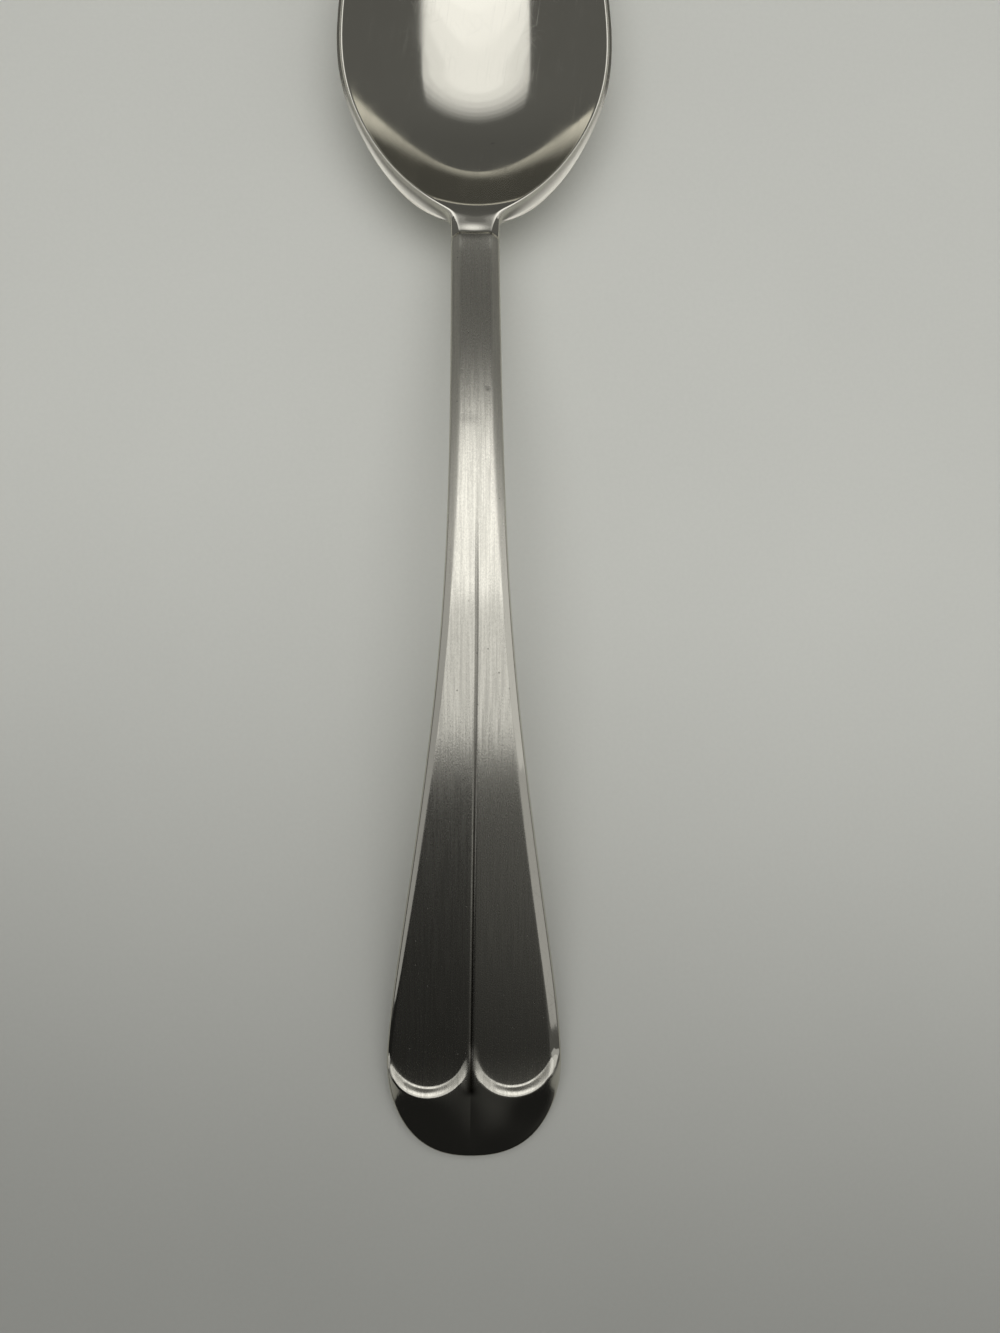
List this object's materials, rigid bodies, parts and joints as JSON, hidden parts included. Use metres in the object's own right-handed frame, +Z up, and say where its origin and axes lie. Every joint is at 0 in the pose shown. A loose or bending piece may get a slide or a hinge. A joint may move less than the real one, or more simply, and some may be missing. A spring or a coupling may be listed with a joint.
{
  "type": "teaspoon",
  "caption": "Steel teaspoon with a polished egg-shaped bowl, a slender arched stem and a satin handle that flares to a rounded end struck with a centre line, bevels and scooped lobes.",
  "frame": {"origin": "middle of the spoon's plan box, on the table that it lies on", "axes": "+Y along the spoon from the handle's end to the bowl's tip, +Z up out of the bowl, +X to the right seen from above"},
  "size_m": [0.0306, 0.152, 0.0155],
  "materials": {
    "steel": "satin on the handle's upper face, mirror polish in the bowl"
  },
  "bodies": {
    "root": {"teaspoon": "steel"}
  },
  "joints": []
}
